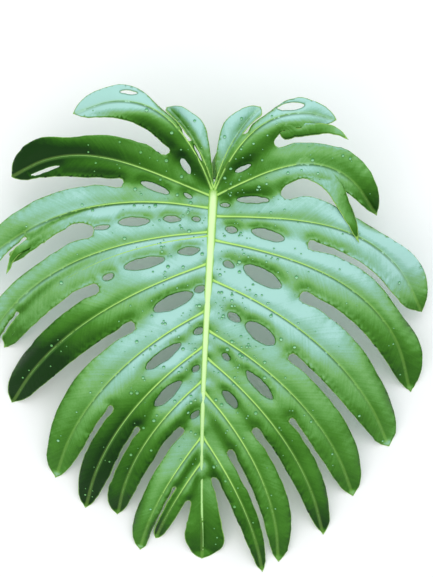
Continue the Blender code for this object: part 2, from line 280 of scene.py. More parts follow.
# The holes between a vein and the next: share along the vein, length and width.
HOLE_ROWS = {
    "left_ear": [(0.40, 22, 6)], "left_curl": [(0.24, 22, 9)],
    "left_hood": [(0.12, 12, 5), (0.29, 38, 9)],
    "left_1": [(0.06, 10, 6), (0.15, 22, 8), (0.29, 40, 11), (0.42, 20, 6)],
    "left_2": [(0.10, 28, 10), (0.27, 52, 14), (0.42, 15, 8)], "left_3": [(0.07, 14, 8), (0.20, 54, 18)],
    "left_4": [(0.07, 13, 8), (0.26, 54, 14)], "left_5": [(0.10, 11, 7), (0.28, 46, 14)],
    "left_6": [(0.12, 14, 8)], "right_7": [(0.12, 28, 12)], "right_6": [(0.08, 11, 7), (0.26, 48, 13)],
    "right_5": [(0.08, 18, 10), (0.20, 44, 20)], "right_4": [(0.06, 14, 8), (0.19, 54, 19)],
    "right_3": [(0.07, 15, 8), (0.20, 42, 13)], "right_2": [(0.07, 12, 5), (0.19, 40, 9)],
    "right_1": [(0.24, 22, 6)],
}
# The holes inside a lobe: share along its vein, distance from the vein, length and width.
LOBE_HOLES = {
    "left_curl": (0.72, 11, 22, 5), "left_hood": (0.84, -13, 40, 5), "right_curl": (0.74, -9, 34, 10),
}
WIDEST_HOLE = 0.45  # of the gap between the two veins


def vein_turn(name, number):
    """The direction of a vein at one of its points, in degrees from +X."""
    along = FINE_VEINS[name][number + 1] - FINE_VEINS[name][number - 1]
    return math.degrees(math.atan2(along[1], along[0]))


def hole_list():
    """Every hole: its middle, length, width and turn."""
    whole = [name for name in LOBE_NAMES if not name.endswith("finger")]
    holes = []
    for name, row in HOLE_ROWS.items():
        following = whole[whole.index(name) + 1]
        for share, length, width in row:
            number = round(share * 100)
            point = FINE_VEINS[name][number, :2]
            gap, nearest_number = gap_to(point, following)
            x, y = (point + FINE_VEINS[following][nearest_number, :2]) / 2
            holes.append((x, y, length, min(width, WIDEST_HOLE * gap), vein_turn(name, number)))
    for name, (share, offset, length, width) in LOBE_HOLES.items():
        number = round(share * 100)
        turn = vein_turn(name, number)
        x, y = FINE_VEINS[name][number, :2]
        across = math.radians(turn - 90)
        holes.append((x + math.cos(across) * offset, y + math.sin(across) * offset, length, width, turn))
    return holes


HOLES = hole_list()
# Each lobe's tones: four along its vein and how much darker its lower side is. They paint the lobe's shade
# and sheen: low tones are painted shade where a lobe turns down from the sky, high ones a painted mint
# reflection of the sky where it faces up.
LOBE_GREEN_AND_PAINTED_SHEEN = {
    "left_ear": (0.82, 0.86, 0.88, 0.88, 0.40), "left_curl": (0.50, 0.86, 1.26, 1.34, 0.14),
    "left_hood": (0.70, 0.28, 0.04, 0.14, -0.06), "left_1": (0.78, 1.04, 1.02, 1.06, -0.10),
    "left_1_finger": (0.90, 0.98, 0.90, 0.70, 0.0), "left_2": (0.90, 0.86, 1.04, 1.18, -0.06),
    "left_2_finger": (0.95, 0.86, 0.90, 0.76, 0.0), "left_3": (0.93, 0.60, 0.08, 0.14, 0.04),
    "left_4": (1.04, 0.92, 0.80, 0.96, -0.04), "left_5": (1.00, 0.30, 0.26, 0.26, 0.06),
    "left_6": (0.96, 0.52, 0.60, 0.44, 0.0), "left_7": (0.82, 0.80, 0.84, 0.84, 0.0),
    "left_8": (0.70, 0.62, 0.62, 0.56, 0.0), "tip": (0.50, 0.52, 0.62, 0.36, 0.0),
    "right_8": (0.68, 0.44, 0.56, 0.40, 0.0), "right_7": (0.74, 0.66, 0.70, 0.60, 0.0),
    "right_6": (0.84, 0.52, 0.64, 0.32, 0.0), "right_5": (0.84, 0.74, 0.76, 0.66, 0.0),
    "right_4": (1.00, 1.00, 0.80, 1.02, 0.04), "right_3": (1.00, 0.95, 0.72, 0.66, 0.10),
    "right_2": (0.80, 0.94, 1.28, 0.60, 0.04), 
    "right_1": (0.60, 0.84, 0.80, 0.40, -0.14), "right_curl": (0.62, 0.84, 1.02, 1.12, 0.0),
    "right_ear": (1.12, 1.06, 1.02, 1.02, 0.0),
}
print(len(LOBES), "lobes,", len(HOLES), "holes")

# %% [markdown]
# A smooth curve through a few points is all that a vein needs. `smooth_route` passes a
# Catmull-Rom curve through them, which bends no more than it must and needs no handles.

# %% Smooth routes


def smooth_route(points, steps=12):
    """Points on a smooth curve that passes through the given ones."""
    knots = np.array(points, float)
    before = 2 * knots[0] - knots[1]
    after = 2 * knots[-1] - knots[-2]
    knots = np.vstack([before, knots, after])
    share = np.linspace(0, 1, steps, endpoint=False)[:, None]
    route = []
    for a, b, c, d in zip(knots, knots[1:], knots[2:], knots[3:]):
        bend = 2 * a - 5 * b + 4 * c - d
        turn = -a + 3 * b - 3 * c + d
        route.append(0.5 * (2 * b + (c - a) * share + bend * share**2 + turn * share**3))
    return np.vstack(route + [knots[-2:-1]])


RIB_ROUTE = smooth_route(MIDRIB, 5)
VEIN_ROUTES = {name: smooth_route(lobe[0], 5) for name, lobe in LOBES.items()}
LENGTHS = {name: np.linalg.norm(np.diff(r, axis=0), axis=1).sum() for name, r in VEIN_ROUTES.items()}
RIB_LENGTH = np.linalg.norm(np.diff(RIB_ROUTE, axis=0), axis=1).sum()
print("longest side vein:", round(max(LENGTHS.values())), "mm")

# %% [markdown]
# ## How high the sheet lies
# The height of the sheet at a point is a blend of the heights of the veins near it, so it
# follows each vein and passes smoothly from one to the next. On top of that come the small
# forms: a groove along each vein, where the sheet is tied down, and a soft swelling between.
# The same walk along the veins measures what the skin's colours need later: how far the
# point is from its vein, how far along it is, and on which side.

# %% The height of the sheet
GROOVE_DEPTH = 2.0
GROOVE_REACH = 9.0
SETTLING = 4.0  # the ends of the lobes are pressed flat where they come this close to the table
SETTLING_FADE = 20.0


def nearest(points, route):
    """For each point: how far the route is, its height there, how far along, and if it lies below."""
    away = np.full(len(points), 1e9)
    height = np.zeros(len(points))
    along = np.zeros(len(points))
    below = np.zeros(len(points))
    walked = 0.0
    for start, end in zip(route[:-1], route[1:]):
        step = end[:2] - start[:2]
        length = np.hypot(*step)
        share = np.clip((points - start[:2]) @ step / length**2, 0, 1)
        reach = points - start[:2] - share[:, None] * step
        gap = np.hypot(*reach.T)
        closer = gap < away
        away[closer] = gap[closer]
        height[closer] = start[2] + share[closer] * (end[2] - start[2])
        along[closer] = walked + share[closer] * length
        below[closer] = -reach[closer, 1] / np.maximum(gap[closer], 0.01)
        walked += length
    return away, height, along, below


BLEND_START = 3.0  # mm from a vein within which the sheet follows that vein alone
LOWER_SHADE_REACH = 10.0  # mm from a vein at which the painted shade on its lower side is full
# The midrib's tones, in the same way: painted shade and sheen along it and on its lower side.
RIB_GREEN_AND_PAINTED_SHEEN = (0.94, 0.94, 0.84, 0.46, 0.0)


def tone_beside(tones, share, away, below):
    """The painted tone by a vein, from four tones along it, with painted shade on its lower side."""
    painted_lower_shade = tones[4] * below * np.clip(away / LOWER_SHADE_REACH, 0, 1)
    return np.interp(share, (0.15, 0.45, 0.75, 1.0), tones[:4]) - painted_lower_shade


def sheet_fields(points):
    """The sheet's height over each point of the plan, and where the point lies among the veins."""
    rib_away, height, along, below = nearest(points, RIB_ROUTE)
    weight = 1 / (rib_away + BLEND_START) ** 3
    weights = weight.copy()
    total = weight * height
    green_and_painted_sheen = weight * tone_beside(RIB_GREEN_AND_PAINTED_SHEEN, along / RIB_LENGTH, rib_away, below)
    count = len(points)
    vein = {"away": np.full(count, 1e9), "along": np.zeros(count), "share": np.zeros(count),
            "below": np.zeros(count)}
    for name, route in VEIN_ROUTES.items():
        away, height, along, below = nearest(points, route)
        share = along / LENGTHS[name]
        weight = 1 / (away + BLEND_START) ** 3
        total += weight * height
        green_and_painted_sheen += weight * tone_beside(LOBE_GREEN_AND_PAINTED_SHEEN[name], share, away, below)
        weights += weight
        if name.endswith("finger"):
            continue
        closer = away < vein["away"]
        for key, values in (("away", away), ("along", along), ("share", share), ("below", below)):
            vein[key][closer] = values[closer]
    groove = GROOVE_DEPTH * np.exp(-((np.minimum(rib_away, vein["away"]) / GROOVE_REACH) ** 2))
    free = total / weights - groove
    height = np.maximum(free - SETTLING * np.exp(-free / SETTLING_FADE), 0)
    return height, {
        "rib_away": rib_away, "vein_away": vein["away"], "vein_along": vein["along"],
        "vein_share": vein["share"], "vein_below": vein["below"], "green_and_painted_sheen": green_and_painted_sheen / weights,
    }


# %% [markdown]
# ## From the outline to a sheet that can bend
# A flat outline is a curve, and Blender fills it, but a filled curve has no points inside, so
# it can't bend. Here the curve only gives the edge. Evenly spaced points are strewn inside it,
# closer together along the veins, and Blender's own triangulation joins them all, with the
# edge and the holes kept. Its triangles are nearly equal, so the sheet bends smoothly.

# %% Outline, strewn points and triangles
EDGE_STEPS = 5  # straight pieces between two points of the edge
SPACING = 3.8  # mm between the points inside
NOTCH_DEPTH = 0.9  # mm, how far the margin strays from its smooth line
NOTCH_LENGTH = 7.0
EDGE_ROW = 2.2  # mm from the edge to the first row of points


def add_spline(curve, points, corners):
    """A closed smooth loop in the curve, with a sharp corner at the numbered points."""
    spline = curve.splines.new("BEZIER")
    spline.bezier_points.add(len(points) - 1)
    spline.use_cyclic_u = True
    spline.resolution_u = EDGE_STEPS
    for number, (x, y) in enumerate(points):
        knot = spline.bezier_points[number]
        kind = "VECTOR" if number in corners else "AUTO"
        knot.co = (x, y, 0)
        knot.handle_left_type = kind
        knot.handle_right_type = kind


def loop_lines(loops):
    """The smooth closed loops as points in the plan, and the pairs of points that they join."""
    curve = bpy.data.curves.new("edge", "CURVE")
    curve.dimensions = "2D"
    curve.fill_mode = "NONE"
    for points, corners in loops:
        add_spline(curve, points, corners)
    guide = bpy.data.objects.new("edge", curve)
    bpy.context.scene.collection.objects.link(guide)
    bpy.context.view_layer.update()
    mesh = bpy.data.meshes.new_from_object(guide.evaluated_get(bpy.context.evaluated_depsgraph_get()))
    points = np.array([vert.co[:2] for vert in mesh.vertices])
    lines = [tuple(edge.vertices) for edge in mesh.edges]
    bpy.data.objects.remove(guide)
    bpy.data.meshes.remove(mesh)
    return points, lines


def inside(points, edges, lines):
    """True for the points that lie inside: a ray from them crosses the lines an odd number of times."""
    crossings = np.zeros(len(points), int)
    for first, second in lines:
        (ax, ay), (bx, by) = edges[first], edges[second]
        spans = (points[:, 1] > min(ay, by)) & (points[:, 1] <= max(ay, by))
        if ay != by:
            meets = ax + (points[:, 1] - ay) / (by - ay) * (bx - ax)
            crossings += spans & (meets > points[:, 0])
    return crossings % 2 == 1


def evenly_spaced(route, spacing):
    """The same route with its points at even distances."""
    walked = np.concatenate([[0], np.cumsum(np.hypot(*np.diff(route[:, :2], axis=0).T))])
    stops = np.linspace(0, walked[-1], max(int(walked[-1] / spacing), 3))
    return np.column_stack([np.interp(stops, walked, route[:, axis]) for axis in range(3)])


def strewn_points(edge_points, lines, routes):
    """Points inside: rows beside the edge and each vein, then an even net that keeps clear of them."""
    taken = [tuple(point) for point in edge_points]
    starts, ends = edge_points[np.array(lines)].transpose(1, 0, 2)
    step = ends - starts
    across = np.column_stack([-step[:, 1], step[:, 0]]) / np.hypot(*step.T)[:, None]
    for offset in (-EDGE_ROW, EDGE_ROW):
        taken += [tuple(point) for point in (starts + ends) / 2 + across * offset]
    for route in routes:
        fine = evenly_spaced(smooth_route(route, 3), SPACING)
        direction = np.gradient(fine[:, :2], axis=0)
        direction /= np.hypot(*direction.T)[:, None]
        across = np.column_stack([-direction[:, 1], direction[:, 0]])
        for offset in (0.0, -2.2, 2.2, -5.0, 5.0):
            taken += [tuple(point) for point in fine[:, :2] + across * offset]
    low = np.min(edge_points, axis=0)
    high = np.max(edge_points, axis=0)
    rows = np.arange(low[1], high[1], SPACING * 0.866)
    for number, y in enumerate(rows):
        for x in np.arange(low[0] + (number % 2) * SPACING / 2, high[0], SPACING):
            taken.append((x, y))
    kept = []
    tree = kdtree.KDTree(len(taken))
    for number, point in enumerate(taken):
        tree.insert((*point, 0), number)
    tree.balance()
    first = len(edge_points)
    dropped = set()
    for number in range(first, len(taken)):
        if number in dropped:
            continue
        for _, other, gap in tree.find_range((*taken[number], 0), SPACING * 0.45):
            if other < first:
                dropped.add(number)
                break
            if other > number:
                dropped.add(other)
        if number not in dropped:
            kept.append(taken[number])
    return kept


def plan_sheet(loops, routes):
    """The flat sheet inside the loops: its points, its triangles and its edge points."""
    edge_points, lines = loop_lines(loops)
    stray = [noise.noise_vector(Vector((x, y, 0)) / NOTCH_LENGTH)[:2] for x, y in edge_points]
    edge_points += NOTCH_DEPTH * np.array(stray)
    strewn = np.array(strewn_points(edge_points, lines, routes))
    strewn = strewn[inside(strewn, edge_points, lines)]
    corners = [Vector(point) for point in edge_points] + [Vector(point) for point in strewn]
    found = geometry.delaunay_2d_cdt(corners, lines, [], 1, 1e-4)
    points = np.array([point[:] for point in found[0]])
    triangles = np.array(found[2])
    middles = points[triangles].mean(axis=1)
    triangles = triangles[inside(middles, edge_points, lines)]
    return points, triangles.tolist(), edge_points


HOLE_POINTS = 12
HOLE_POINTEDNESS = 0.12  # 0 gives an ellipse, more gives an almond


def blade_loops():
    """The blade's edge as one loop, and a loop for each hole."""
    edge = []
    tips = set()
    for vein, before, after, slit in LOBES.values():
        edge += before
        tips.add(len(edge))
        edge += [vein[-1][:2]] + after + [slit]
    loops = [(edge, tips)]
    for x, y, length, width, turn in HOLES:
        long_way = Vector((math.cos(math.radians(turn)), math.sin(math.radians(turn))))
        wide_way = Vector((-long_way.y, long_way.x))
        loop = []
        for number in range(HOLE_POINTS):
            angle = number * math.tau / HOLE_POINTS
            along = math.cos(angle) * length / 2
            across = math.sin(angle) * abs(math.sin(angle)) ** HOLE_POINTEDNESS * width / 2
            loop.append(Vector((x, y)) + long_way * along + wide_way * across)
        loops.append((loop, set()))
    return loops


plan, triangles, edge_points = plan_sheet(blade_loops(), [MIDRIB] + [lobe[0] for lobe in LOBES.values()])
blade_edge, blade_lines = loop_lines(blade_loops()[:1])
print("blade:", len(plan), "points,", len(triangles), "triangles")

# %% [markdown]
# The flat sheet is now lifted to its heights. Near a hole or a slit the living sheet curls
# towards the table, which turns it from the painted sky, so the painted sheen and a painted shade
# on the edges that face the tip make the dark green above each hole. Between a vein and the
# edge it swells, and along the margins it ripples a little.

# %% Lifting the sheet
EDGE_CURL = 1.6
TIPWARD_CURL = 1.6  # edges that face the leaf's tip curl down more
TIPWARD_SHADE = 0.07  # and are painted a little darker, as shade
TIPWARD_SHADE_REACH = 7.0
EDGE_CURL_REACH = 9.0
SWELLING = 1.8
SWELLING_WIDTH = 16.0
RIPPLE = 2.4
RIPPLE_LENGTH = 34.0
RIPPLE_REACH = 22.0
SHEET_THICKNESS = 0.8


def edge_distances(points, edges):
    """How far each point is from the nearest edge, and if that edge lies towards the leaf's tip."""
    tree = kdtree.KDTree(len(edges))
    for number, point in enumerate(edges):
        tree.insert((*point, 0), number)
    tree.balance()
    found = [tree.find((*point, 0)) for point in points]
    away = np.array([gap for _, _, gap in found])
    tipwards = np.array([y - near.y for (_, y), (near, _, _) in zip(points, found)])
    return away, tipwards / np.maximum(away, 0.01)


def small_forms(points, edge_away, edge_tipwards, vein_away):
    """The curl at the edges, the swelling beside the veins and the ripple of the margins."""
    depth = EDGE_CURL + TIPWARD_CURL * np.clip(edge_tipwards, 0, 1)
    curl = depth * np.exp(-((edge_away / EDGE_CURL_REACH) ** 2))
    width = edge_away + vein_away + 0.1
    part = edge_away / width
    swelling = SWELLING * 4 * part * (1 - part) * np.clip(width / SWELLING_WIDTH, 0, 1)
    waves = np.array([noise.noise(Vector((x, y, 0)) / RIPPLE_LENGTH) for x, y in points])
    ripple = RIPPLE * waves * np.exp(-edge_away / RIPPLE_REACH)
    return swelling + ripple - curl


def add_piece(name, mesh, body="root"):
    """A finished piece: in the scene, and riding on the leaf."""
    piece = bpy.data.objects.new(name, mesh)
    bpy.context.scene.collection.objects.link(piece)
    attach(piece, body)
    return piece


def sheet_piece(name, plan, height, triangles, fields):
    """A sheet of skin: the plan's points at their heights, the fields kept on them, and a thickness."""
    mesh = bpy.data.meshes.new(name)
    mesh.from_pydata([place(x, y, z) for (x, y), z in zip(plan, height)], [], triangles)
    for key, values in fields.items():
        layer = mesh.attributes.new(key, "FLOAT", "POINT")
        layer.data.foreach_set("value", values.astype(np.float32))
    mesh.shade_smooth()
    sheet = add_piece(name, mesh)
    wall = sheet.modifiers.new("thickness", "SOLIDIFY")
    wall.thickness = SHEET_THICKNESS * MM
    wall.offset = 1
    wall.material_offset = 1
    wall.material_offset_rim = 2
    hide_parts("leaf_blade")
    return sheet


height, fields = sheet_fields(plan)
fields["edge_away"], edge_tipwards = edge_distances(plan, edge_points)
fields["margin_away"], _ = edge_distances(plan, blade_edge)
forms = small_forms(plan, fields["edge_away"], edge_tipwards, fields["vein_away"])
height += forms * np.clip(height / 20, 0, 1)
# Painted shade along the edges that face the leaf's tip.
tipward_painted_shade = np.exp(-((fields["edge_away"] / TIPWARD_SHADE_REACH) ** 2)) * np.clip(edge_tipwards, 0, 1)
fields["green_and_painted_sheen"] -= TIPWARD_SHADE * tipward_painted_shade
height = np.maximum(height, 0)
blade = sheet_piece("blade", plan, height, triangles, fields)
print("blade box:", [round(side, 3) for side in blade.dimensions])

# %% [markdown]
# ## Fingers that hang over their neighbours
# Three lobes carry a long finger that bends back over the next lobe. A single flat plan can't
# overlap itself, so each finger is a sheet of its own. Its root is sunk a little under the
# lobe that it grows from, so that the two surfaces cross softly, and the rest lies over the
# neighbour with a small gap.

# %% Fingers
ROOT_LIFT = 0.5
SEAM_SINK = 1.4
SEAM_WIDTH = 4.0
OVERLAP_GAP = 4.0
FINGER_DROOP = 0.012
# Each finger: the line of its middle, its half width, and tones that paint its shade and sheen as a lobe's
# tones do.
FINGERS = {
    "right_1_hanging_finger": (
        [(105, 30), (145, 10), (170, -30), (185, -70)], 13, (0.84, 0.76, 0.58, 0.26, 0.0)),
    "right_curl_finger": (
        [(85, 70), (120, 72), (150, 72), (170, 60)], 8, (0.62, 0.62, 0.76, 0.80, -0.12)),
    "left_1_hanging_finger": (
        [(-220, -60), (-240, -70), (-260, -85), (-270, -110)], 7, (0.80, 0.70, 0.62, 0.50, 0.0)),
}
FINGER_STATIONS = (0.0, 0.2, 0.4, 0.6, 0.8, 0.92)


def finger_edge_points(middle, half_width):
    """The two edges of a finger, each from its root towards its point."""
    route = smooth_route([(x, y, 0) for x, y in middle], 20)[:, :2]
    along = np.gradient(route, axis=0)
    side = np.column_stack([along[:, 1], -along[:, 0]]) / np.hypot(*along.T)[:, None]
    edges = []
    for sign in (1, -1):
        numbers = [round(share * (len(route) - 1)) for share in FINGER_STATIONS]
        widths = [half_width * (1 - share**2) ** 0.8 for share in FINGER_STATIONS]
        edges.append([tuple((route[n] + sign * w * side[n]).tolist()) for n, w in zip(numbers, widths)])
    return edges


def add_finger(name, middle, half_width, tones):
    """A finger's sheet: its outline from the root to the point and back, over what lies below it."""
    before, after = finger_edge_points(middle, half_width)
    loop = before + [middle[-1]] + after[::-1]
    plan, triangles, finger_edge = plan_sheet([(loop, {len(before)})], [[(x, y, 0) for x, y in middle]])
    level, fields = sheet_fields(plan)
    away, _, along, below = nearest(plan, smooth_route([(x, y, 0) for x, y in middle], 5))
    share = along / along.max()
    free = np.clip((share - 0.25) / 0.35, 0, 1) ** 2 * np.clip(3 - 2 * (share - 0.25) / 0.35, 1, 3)
    own_edge, _ = edge_distances(plan, finger_edge)
    on_blade = inside(plan, blade_edge, blade_lines)
    lobe_edge, tipwards = edge_distances(plan, blade_edge)
    buried = on_blade * np.clip(lobe_edge / SEAM_WIDTH, 0, 1) * (1 - free)
    seam = SEAM_SINK * np.exp(-((own_edge / SEAM_WIDTH) ** 2)) * buried
    lobe_forms = small_forms(plan, lobe_edge * on_blade, tipwards, fields["vein_away"])
    rooted = (1 - free) * (lobe_forms + ROOT_LIFT - seam)
    height = level + rooted + free * (OVERLAP_GAP - FINGER_DROOP * away**2)
    fields["edge_away"] = own_edge + 4 * buried
    fields["margin_away"] = fields["edge_away"]
    own_tone = tone_beside(tones, share, away, below)
    fields["green_and_painted_sheen"] = fields["green_and_painted_sheen"] * (1 - free) + own_tone * free
    fields["vein_away"] = fields["vein_away"] * (1 - free) + 20 * free
    return sheet_piece(name, plan, height, triangles, fields)


fingers = [add_finger(name, *shape) for name, shape in FINGERS.items()]
print("fingers:", len(fingers))

# %% [markdown]
# ## The leaf's skin
# The upper skin is deep green, and it is painted pale mint wherever it faces the sky, as a
# painted reflection of the sky on its wax. Between the two lie all the greens of the leaf, so one
# row of colours from dark to mint serves for the whole skin. Each lobe's tone, kept on the sheet's
# points, says where in that row its skin lies, and so paints its shade and sheen; the lean of the
# surface to the sky moves it up or down the row, as painted sheen and shade. Fine streaks run from
# each side vein to the edge, a painted shadow line follows the lower side of each vein, a thin band
# of painted shade lies inside every edge, and the edge itself is a thin yellow-green line.

# %% Upper and lower skin
# The way to the sky: the more the skin faces it, the nearer to mint it is painted, as a painted reflection
# of the sky.
PAINTED_SKY_WAY = Vector((0.0, 0.42, 0.90)).normalized()
PAINTED_SHEEN_LEVEL = PAINTED_SKY_WAY.z
SKIN_AND_PAINTED_SHEEN_ROW = [
    (0.00, "#0A3200"), (0.15, "#1C4A04"), (0.32, "#316710"), (0.48, "#447E24"),
    (0.60, "#5D9745"), (0.70, "#73A961"), (0.80, "#80B289"), (0.90, "#8DBFAA"), (1.00, "#A3D0C6"),
]


def sum_of(material, first, *others):
    """The sum of several values, each given as (node, output name)."""
    total = first
    for other in others:
        total = (add_node(material, "ShaderNodeMath", {}, {0: total, 1: other}, operation="ADD"), 0)
    return total


def scaled(material, value, amount, middle):
    """The value's distance from its middle, times the amount."""
    return (add_node(
        material, "ShaderNodeMath", {1: amount, 2: -amount * middle}, {0: value},
        operation="MULTIPLY_ADD"), 0)


def fade(material, value, start, end, at_start, at_end):
    """A smooth passage from one amount to another as the value goes from start to end."""
    return (add_node(
        material, "ShaderNodeMapRange", {1: start, 2: end, 3: at_start, 4: at_end}, {0: value},
        interpolation_type="SMOOTHSTEP"), 0)


def tinted(material, colour, hex_colour, amount):
    """The colour mixed towards a plain one by an amount."""
    return (add_node(
        material, "ShaderNodeMix", {7: linear(hex_colour)}, {0: amount, 6: colour}, data_type="RGBA"), 2)


def product(material, first, second):
    return (add_node(material, "ShaderNodeMath", {}, {0: first, 1: second}, operation="MULTIPLY"), 0)


def skin_material(name, roughness, painted_sheen_gain, tone_shift, specular):
    """Leaf skin whose colour is chosen from the row by tone, by a painted sheen from its lean to the sky,
    and by streaks.
    """
    material, shader = new_material(name, roughness, IOR=1.45, Specular_IOR_Level=specular)
    where = add_node(material, "ShaderNodeTexCoord")
    field = {
        key: (add_node(material, "ShaderNodeAttribute", attribute_name=key), "Fac")
        for key in (
            "green_and_painted_sheen", "vein_along", "vein_away", "vein_below", "vein_share", "edge_away", "margin_away")
    }

    # Streaks: thin veins that leave the side vein at a slant, about 5 mm apart (0.20 per mm).
    # The patches are about 55 mm across (18 per metre) and the grain 2.4 mm (420 per metre).
    slant = product(material, field["vein_away"], scaled(material, field["vein_share"], 0.5, -1.4))
    across = (add_node(
        material, "ShaderNodeMath", {}, {0: field["vein_along"], 1: slant}, operation="SUBTRACT"), 0)
    lane = add_node(material, "ShaderNodeCombineXYZ", {}, {0: across, 1: field["vein_share"]})
    streaks = add_node(
        material, "ShaderNodeTexNoise", {"Scale": 0.20, "Detail": 4.0, "Roughness": 0.7},
        {"Vector": (lane, 0)})
    patches = add_node(
        material, "ShaderNodeTexNoise", {"Scale": 18.0, "Detail": 3.0}, {"Vector": (where, "Object")})
    grain = add_node(
        material, "ShaderNodeTexNoise", {"Scale": 420.0, "Detail": 2.0}, {"Vector": (where, "Object")})

    # Painted sheen and shade: the lean of the surface to the sky moves the colour up the row towards mint
    # or down towards dark green.
    painted_sheen_lean = add_node(
        material, "ShaderNodeVectorMath", {1: PAINTED_SKY_WAY}, {0: (where, "Normal")}, operation="DOT_PRODUCT")
    green_and_painted_sheen = sum_of(
        material, scaled(material, field["green_and_painted_sheen"], 1.0, -tone_shift),
        scaled(material, (painted_sheen_lean, "Value"), painted_sheen_gain, PAINTED_SHEEN_LEVEL),
        scaled(material, (streaks, "Fac"), 0.22, 0.5), scaled(material, (patches, "Fac"), 0.26, 0.5),
        scaled(material, (grain, "Fac"), 0.10, 0.5))
    row = add_node(material, "ShaderNodeValToRGB", {}, {0: green_and_painted_sheen})
    stops = row.color_ramp.elements
    for number, (at, hex_colour) in enumerate(SKIN_AND_PAINTED_SHEEN_ROW):
        stop = stops[number] if number < 2 else stops.new(at)
        stop.position = at
        stop.color = linear(hex_colour)

    # Beside a vein: a lime seam, and a painted shadow line on the side towards the leaf's tip.
    seam = fade(material, field["vein_away"], 1.0, 3.2, 0.22, 0.0)
    seamed = tinted(material, (row, 0), "#9CCB62", seam)
    near = fade(material, field["vein_away"], 1.6, 4.2, 0.75, 0.0)
    lower = fade(material, field["vein_below"], 0.0, 0.8, 0.0, 1.0)
    inner = fade(material, field["vein_share"], 0.5, 0.95, 1.0, 0.2)
    painted_vein_shadow = product(material, product(material, near, lower), inner)
    shaded = tinted(material, seamed, "#2F6423", painted_vein_shadow)
    # A thin dark band painted just inside every edge and hole, as shade.
    painted_edge_shade = fade(material, field["edge_away"], 0.3, 2.4, 0.55, 0.0)
    edged = tinted(material, shaded, "#2F6423", painted_edge_shade)
    rim = fade(material, field["margin_away"], 0.5, 1.6, 0.8, 0.0)
    rimmed = tinted(material, edged, "#9CCB62", rim)
    material.node_tree.links.new(rimmed[0].outputs[rimmed[1]], shader.inputs["Base Color"])

    relief = sum_of(
        material, scaled(material, (streaks, "Fac"), 1.0, 0.0), scaled(material, (grain, "Fac"), 0.3, 0.0))
    bump = add_node(
        material, "ShaderNodeBump", {"Strength": 0.35, "Distance": 0.0015}, {"Height": relief})
    material.node_tree.links.new(bump.outputs[0], shader.inputs["Normal"])
    gloss = fade(material, (patches, "Fac"), 0.3, 0.7, roughness - 0.06, roughness + 0.06)
    material.node_tree.links.new(gloss[0].outputs[gloss[1]], shader.inputs["Roughness"])
    return material


# The upper skin gives the eye a waxy gloss and every green from dark to mint, the mint being a
# painted reflection of the sky. The lower one is dull and a little darker, and the cut edge of the sheet is
# a thin yellow-green line.
UPPER_SKIN = skin_material("upper_leaf_skin_with_painted_sheen", 0.40, 0.90, 0.0, 0.14)
LOWER_SKIN = skin_material("matt_lower_leaf_skin", 0.60, 0.0, 0.05, 0.15)
RIM_SKIN, rim_shader = new_material("leaf_edge", 0.5)
rim_shader.inputs["Base Color"].default_value = linear("#A4CF6A")
for sheet in [blade] + fingers:
    for skin in (UPPER_SKIN, LOWER_SKIN, RIM_SKIN):
        sheet.data.materials.append(skin)

# %% [markdown]
# ## Midrib and side veins
# The midrib is a broad pale rib that stands a little proud of the sheet, and each side vein
# leaves it in a widening foot and thins out towards the end of its lobe. They are round
# strands half sunk in the sheet. A tube along each route, tapered point by point, gives that.
# The crown of a strand is pale, partly its own colour and partly a painted highlight, and its flanks are
# lime green.

# %% Veins as tapered strands


def strand(shape, route, radii, sides=12, flat=0.7):
    """Add a tube along a route to the bmesh: rings of points, bridged, and closed at both ends."""
    share_layer = shape.verts.layers.float.get("share")
    last = None
    across = np.gradient(route[:, :2], axis=0)
    across /= np.hypot(*across.T)[:, None]
    for number, (point, radius, way) in enumerate(zip(route, radii, across)):
        ring = bmesh.ops.create_circle(shape, segments=sides, radius=1.0)["verts"]
        for vert in ring:
            side = vert.co.x * radius
            up = vert.co.y * radius * flat
            vert.co = place(point[0] - way[1] * side, point[1] + way[0] * side, point[2] + up)
            vert[share_layer] = number / (len(route) - 1)
        edges = list({edge for vert in ring for edge in vert.link_edges})
        if last:
            bmesh.ops.bridge_loops(shape, edges=last + edges)
        else:
            bmesh.ops.contextual_create(shape, geom=edges)
        last = edges
    bmesh.ops.contextual_create(shape, geom=last)


def add_strands(name, strands, material):
    """One piece from several strands, facing outwards."""
    shape = bmesh.new()
    shape.verts.layers.float.new("share")
    for route, radii in strands:
        strand(shape, route, radii)
    bmesh.ops.recalc_face_normals(shape, faces=shape.faces)
    mesh = bpy.data.meshes.new(name)
    shape.to_mesh(mesh)
    shape.free()
    mesh.shade_smooth()
    mesh.materials.append(material)
    piece = add_piece(name, mesh)
    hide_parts("leaf_blade")
    return piece


def vein_material(name, crown, flank, end):
    """A strand's skin: pale on its crown, partly as a painted highlight, greener on its flanks and towards
    its end.
    """
    material, shader = new_material(name, 0.38, IOR=1.45, Specular_IOR_Level=0.4)
    where = add_node(material, "ShaderNodeTexCoord")
    spread = add_node(material, "ShaderNodeSeparateXYZ", {}, {0: (where, "Normal")})
    share = add_node(material, "ShaderNodeAttribute", attribute_name="share")
    blotches = add_node(
        material, "ShaderNodeTexNoise", {"Scale": 70.0, "Detail": 3.0}, {"Vector": (where, "Object")})
    up = sum_of(material, (spread, "Z"), scaled(material, (blotches, "Fac"), 0.25, 0.5))
    # Painted highlight: the more a strand's surface faces up, the paler its crown colour.
    painted_crown_highlight = fade(material, up, 0.55, 0.97, 0.0, 1.0)
    body = add_node(
        material, "ShaderNodeMix", {6: linear(flank), 7: linear(crown)}, {0: painted_crown_highlight}, data_type="RGBA")
    ending = fade(material, (share, "Fac"), 0.15, 1.0, 0.0, 1.0)
    ended = tinted(material, (body, 2), end, ending)
    material.node_tree.links.new(ended[0].outputs[ended[1]], shader.inputs["Base Color"])
    return material


